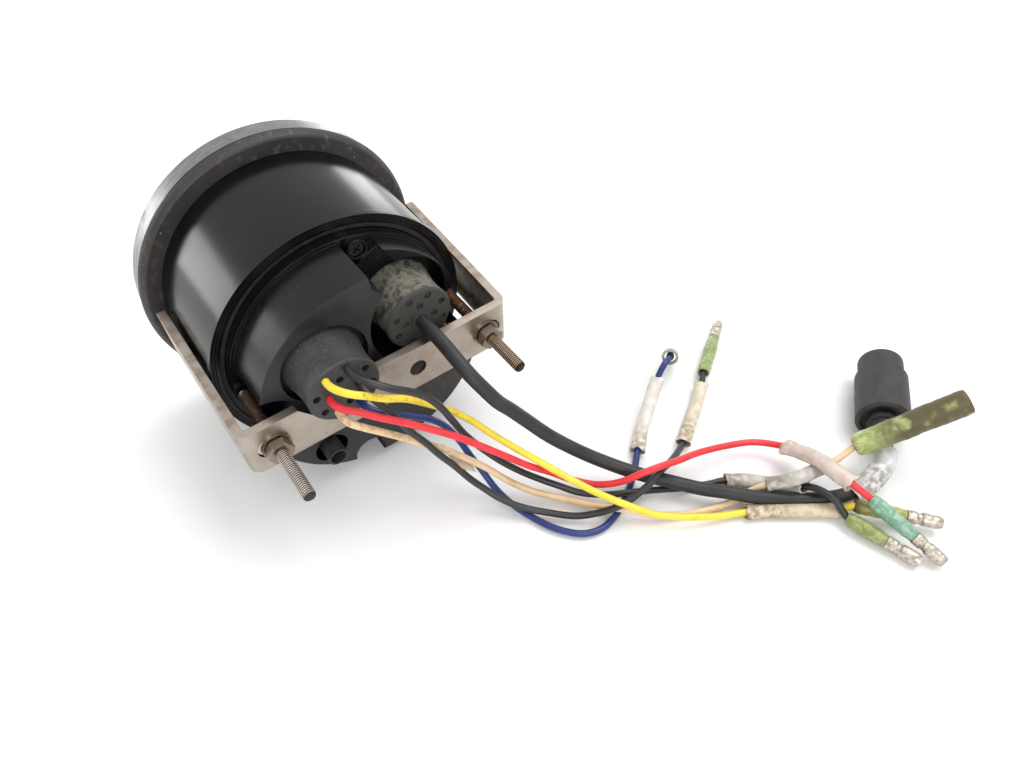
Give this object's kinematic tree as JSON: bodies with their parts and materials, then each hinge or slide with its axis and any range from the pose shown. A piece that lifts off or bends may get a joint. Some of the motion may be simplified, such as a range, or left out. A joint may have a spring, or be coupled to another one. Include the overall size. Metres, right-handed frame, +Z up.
{
  "type": "panel gauge with wiring harness",
  "caption": "Round instrument-panel gauge with a U-shaped clamp bracket on threaded studs, rubber wire grommets and a loose wiring harness with plug and bullet connectors.",
  "frame": {"origin": "centre of the gauge's footprint (harness left out), on the surface that it lies on", "axes": "+Z up; the dial faces -Y and the studs, nuts and wires point to +Y, 7.5 degrees below level, because the gauge lies on its panel gasket and case rim; the harness runs towards -X and +Y"},
  "size_m": [0.208, 0.2141, 0.0964],
  "materials": {
    "bezel_metal": "satin, slightly worn",
    "clear_lens": "clear, polished",
    "gasket_rubber": "dull, with dried salt and dirt",
    "black_rubber": "matt",
    "case_plastic": "satin black",
    "cover_plastic": "satin black with a fine moulded grain",
    "grommet_rubber": "dark grey, dusty",
    "aged_rubber": "mottled grey-green with dried deposits",
    "screw_black": "black oxide",
    "stud_steel": "threaded, light rust",
    "bracket_steel": "dull stainless with brown staining",
    "nut_steel": "dull plated",
    "dial_black": "matt with white scale",
    "trim_black": "matt",
    "light_guide_clear": "frosted",
    "needle_orange": "matt",
    "shaft_steel": "turned",
    "magnet_grey": "matt",
    "cup_steel": "drawn",
    "bobbin_nylon": "natural nylon",
    "copper_winding": "enamelled wire",
    "board_green": "solder mask",
    "post_brass": "turned",
    "part_black": "moulded",
    "lamp_white": "frosted",
    "cord_black": "matt PVC",
    "wire_black": "satin PVC",
    "wire_yellow": "satin PVC",
    "wire_red": "satin PVC",
    "wire_blue": "satin PVC",
    "wire_beige": "satin PVC, aged",
    "plug_black": "matt moulded",
    "label_film": "thin yellowed sleeve",
    "sleeve_green": "translucent vinyl",
    "sleeve_teal": "translucent vinyl",
    "sleeve_olive": "translucent vinyl, dirty",
    "bullet_tin": "tinned, dull"
  },
  "bodies": {
    "gauge": {"bezel_ring": "bezel_metal", "lens": "clear_lens", "lens_gasket": "black_rubber", "panel_gasket": "gasket_rubber", "front_case": "case_plastic", "case_seal": "black_rubber", "rear_cover": "cover_plastic", "cover_screws": "screw_black", "grommet_left": "grommet_rubber", "grommet_right": "aged_rubber", "vent_spout": "cover_plastic", "stud_left": "stud_steel", "stud_right": "stud_steel", "trim_ring": "trim_black", "dial_plate": "dial_black", "dial_screws": "screw_black", "light_guide": "light_guide_clear", "movement_cup": "cup_steel", "movement_base": "bobbin_nylon", "coil_inner": "copper_winding", "coil_outer": "copper_winding", "circuit_board": "board_green", "board_posts": "post_brass", "board_screws": "nut_steel", "board_parts": "part_black", "lamps": "lamp_white", "cord_main": "cord_black", "wire_black_a": "wire_black", "wire_black_b": "wire_black", "wire_yellow": "wire_yellow", "wire_red": "wire_red", "wire_blue": "wire_blue", "wire_beige": "wire_beige", "plug_body": "plug_black", "plug_boot": "plug_black", "label_main": "label_film", "label_black_a": "label_film", "label_black_b": "label_film", "label_yellow": "label_film", "label_red": "label_film", "label_blue": "label_film", "label_beige": "label_film", "sleeve_black_a": "sleeve_green", "sleeve_black_b": "sleeve_green", "sleeve_yellow": "sleeve_green", "sleeve_red": "sleeve_teal", "sleeve_blue": "sleeve_green", "socket_sleeve": "sleeve_olive", "bullet_black_a": "bullet_tin", "bullet_black_b": "bullet_tin", "bullet_yellow": "bullet_tin", "bullet_red": "bullet_tin"},
    "clamp": {"clamp_bracket": "bracket_steel", "washers": "nut_steel"},
    "nut_left": {"nut_left": "nut_steel"},
    "nut_right": {"nut_right": "nut_steel"},
    "needle": {"needle": "needle_orange", "needle_cap": "trim_black", "needle_shaft": "shaft_steel", "rotor_magnet": "magnet_grey"}
  },
  "joints": [
    {"name": "clamp_slide", "type": "slide", "parent": "gauge", "child": "clamp", "axis": [0, 0.9913, -0.1314], "range_m": [-0.002, 0.006]},
    {"name": "nut_left_turn", "type": "hinge", "parent": "clamp", "child": "nut_left", "pos_m": [0.03615, 0.03279, 0.03697], "axis": [0, 0.9913, -0.1314], "range_deg": [-1080, 3240]},
    {"name": "nut_right_turn", "type": "hinge", "parent": "clamp", "child": "nut_right", "pos_m": [-0.03615, 0.03329, 0.04073], "axis": [0, 0.9913, -0.1314], "range_deg": [-1080, 3240]},
    {"name": "needle_turn", "type": "hinge", "parent": "gauge", "child": "needle", "pos_m": [0, -0.03834, 0.04831], "axis": [0, 0.9913, -0.1314], "range_deg": [0, 240]}
  ],
  "couplings": [
    {"joint": "nut_left_turn", "follows": "clamp_slide", "rad_per_m": 8976},
    {"joint": "nut_right_turn", "follows": "clamp_slide", "rad_per_m": 8976}
  ]
}
